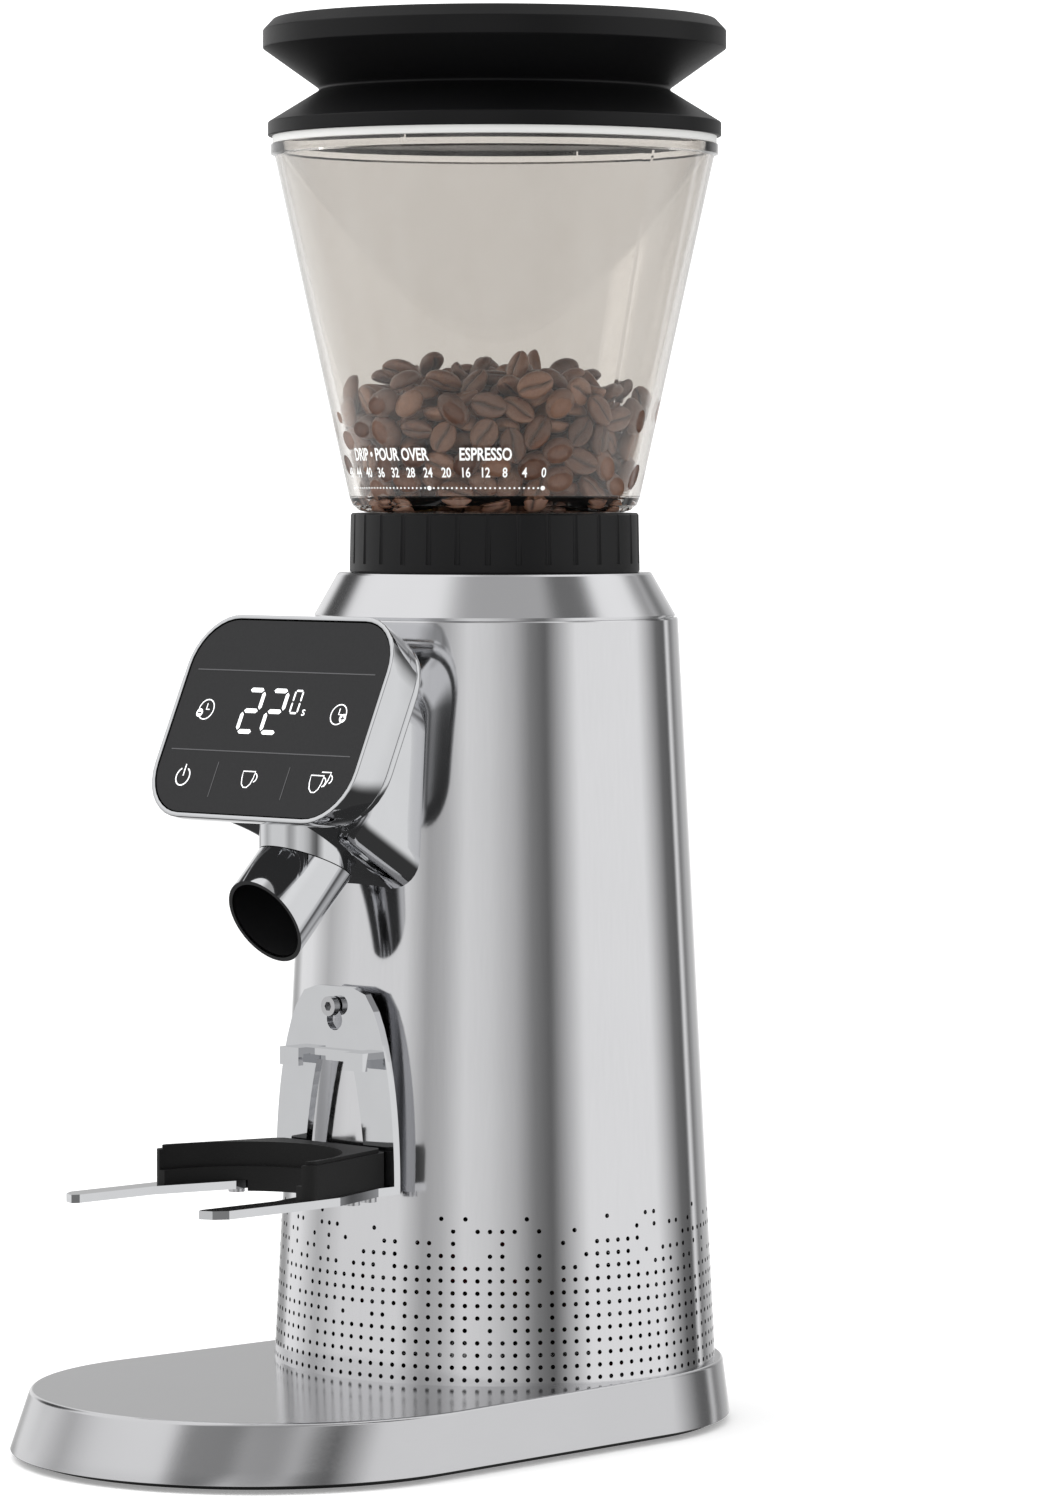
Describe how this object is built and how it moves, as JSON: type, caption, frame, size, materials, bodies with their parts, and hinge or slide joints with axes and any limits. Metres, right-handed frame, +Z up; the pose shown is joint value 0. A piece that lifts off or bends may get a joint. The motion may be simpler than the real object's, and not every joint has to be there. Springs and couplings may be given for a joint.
{
  "type": "burr coffee grinder",
  "caption": "Tower coffee grinder with a conical burr set, a clear hopper on a turning grip ring, a tilted touch panel arm with a spout, and a fork that holds a filter holder.",
  "frame": {"origin": "on the floor, under the middle of the base's outline", "axes": "+Z up, the spout, panel and fork face -Y, +X to the right of somebody who looks from behind towards the back of the panel, which is the right-hand side when facing the grinder"},
  "size_m": [0.132, 0.217, 0.3794],
  "materials": {
    "brushed_steel": "brushed satin",
    "polished_steel": "fine satin with soft reflections",
    "satin_steel": "satin turned",
    "chrome": "mirror plated",
    "black_plastic": "matt moulded",
    "lid_black": "satin moulded",
    "soft_black": "soft matt",
    "rubber": "matt",
    "seal_white": "translucent silicone",
    "smoke_clear": "clear smoke tinted plastic",
    "black_glass": "gloss black glass",
    "screw_steel": "bright zinc plated",
    "bearing_steel": "ground",
    "zinc_plate": "zinc plated",
    "cast_iron": "painted cast",
    "cast_aluminium": "as cast",
    "circuit_board": "solder mask",
    "components": "moulded",
    "wire_red": "wire sheath",
    "ferrite": "sintered",
    "copper_winding": "varnished winding",
    "brass": "machined",
    "nylon": "moulded nylon",
    "burr_steel": "hardened steel"
  },
  "bodies": {
    "stand": {"base_shell": "brushed_steel", "base_cover": "black_plastic", "rubber_feet": "rubber", "base_screws": "screw_steel", "base_weight": "cast_iron", "chassis": "black_plastic", "chassis_screws": "screw_steel", "tower_shell": "polished_steel", "top_collar": "satin_steel", "cord_gland": "black_plastic", "power_board": "circuit_board", "board_components": "components", "motor_leads": "wire_red", "motor_case": "zinc_plate", "motor_endcap": "black_plastic", "motor_magnets": "ferrite", "motor_bearings": "bearing_steel", "motor_mount_ring": "rubber", "gearbox_base": "cast_aluminium", "gearbox_cover": "cast_aluminium", "gearbox_screws": "screw_steel", "gear_axle": "bearing_steel", "shaft_bearings": "bearing_steel", "shaft_seal": "rubber", "chamber_standoffs": "cast_aluminium", "grind_chamber": "cast_aluminium", "chamber_screws": "screw_steel", "hopper_switch": "black_plastic", "chute": "black_plastic", "arm_body": "chrome", "panel_housing": "chrome", "panel_rear_cover": "chrome", "panel_bezel": "chrome", "touch_glass": "black_glass", "display_board": "circuit_board", "display_cable": "wire_red", "spout_neck": "chrome", "spout_tube": "chrome", "holder_screw": "screw_steel"},
    "rotor": {"motor_rotor": "copper_winding", "motor_shaft": "bearing_steel", "motor_pinion": "brass"},
    "countershaft": {"compound_gear": "nylon"},
    "burr_drive": {"output_gear": "brass", "burr_shaft": "bearing_steel", "shaft_circlip": "screw_steel", "sweeper": "black_plastic", "cone_burr": "burr_steel", "burr_bolt": "screw_steel"},
    "carrier": {"burr_carrier": "brass", "ring_burr": "burr_steel", "ring_burr_screws": "screw_steel"},
    "adjuster": {"grip_ring": "black_plastic"},
    "hopper": {"hopper": "smoke_clear"},
    "lid": {"hopper_lid": "lid_black", "lid_plug": "lid_black", "lid_seal": "seal_white"},
    "holder": {"holder_bracket": "chrome", "fork_pad": "soft_black", "pad_screws": "screw_steel"}
  },
  "joints": [
    {"name": "motor_spin", "type": "hinge", "parent": "stand", "child": "rotor", "pos_m": [0, 0.0445, 0.1], "axis": [0, 0, 1], "continuous": true},
    {"name": "gear_spin", "type": "hinge", "parent": "stand", "child": "countershaft", "pos_m": [0.024, 0.0445, 0.15], "axis": [0, 0, 1], "continuous": true},
    {"name": "burr_spin", "type": "hinge", "parent": "stand", "child": "burr_drive", "pos_m": [0, 0.0445, 0.17], "axis": [0, 0, 1], "continuous": true},
    {"name": "grind_adjust", "type": "hinge", "parent": "stand", "child": "adjuster", "pos_m": [0, 0.0445, 0.238], "axis": [0, 0, 1], "range_deg": [-65, 35]},
    {"name": "carrier_lift", "type": "slide", "parent": "stand", "child": "carrier", "axis": [0, 0, 1], "range_m": [-0.00075, 0.0004]},
    {"name": "hopper_lift", "type": "slide", "parent": "adjuster", "child": "hopper", "axis": [0, 0, 1], "range_m": [0, 0.04]},
    {"name": "lid_lift", "type": "slide", "parent": "hopper", "child": "lid", "axis": [0, 0, 1], "range_m": [0, 0.06]},
    {"name": "holder_lift", "type": "slide", "parent": "stand", "child": "holder", "axis": [0, 0, 1], "range_m": [0, 0.0036]}
  ],
  "couplings": [
    {"joint": "gear_spin", "follows": "motor_spin", "ratio": -0.33333},
    {"joint": "burr_spin", "follows": "motor_spin", "ratio": 0.11111},
    {"joint": "carrier_lift", "follows": "grind_adjust", "m_per_rad": 0.00063662}
  ]
}
